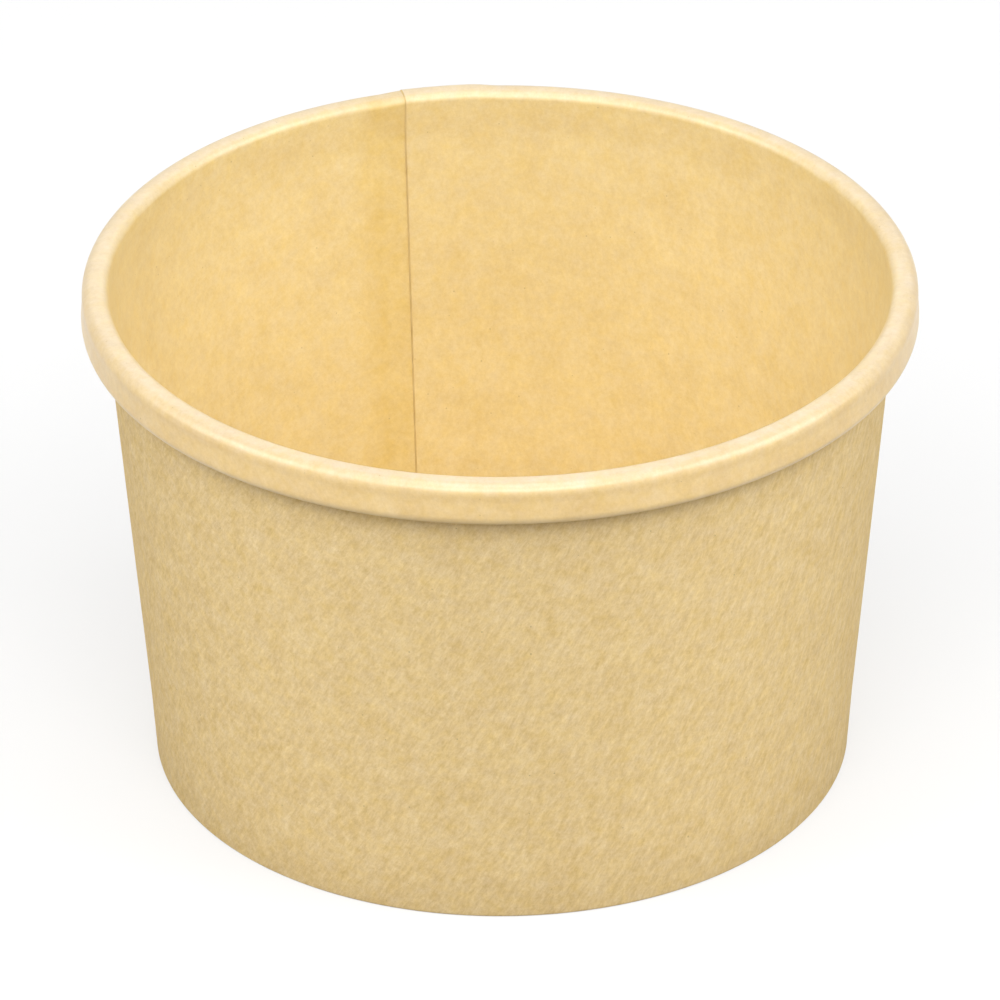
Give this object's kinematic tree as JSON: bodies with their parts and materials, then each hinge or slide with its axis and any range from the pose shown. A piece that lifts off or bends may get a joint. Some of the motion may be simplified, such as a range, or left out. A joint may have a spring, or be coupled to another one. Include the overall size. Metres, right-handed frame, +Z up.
{
  "type": "paper soup cup",
  "caption": "Squat kraft paper soup cup: a tapered wall with a lapped side seam and a tall rolled rim, folded in at the foot round a recessed base disc.",
  "frame": {"origin": "centre of the foot, on the surface that the cup stands on", "axes": "+Z up along the cup's axis; +Y to the back, where the side seam is; +X to the right as seen from the front"},
  "size_m": [0.115, 0.1151, 0.0732],
  "materials": {
    "kraft_wall": "matte kraft outside, thin gloss film on the inside and over the rim",
    "kraft_base": "thin gloss film on top, matte kraft underneath"
  },
  "bodies": {
    "root": {"side_wall": "kraft_wall", "base_disc": "kraft_base"}
  },
  "joints": []
}
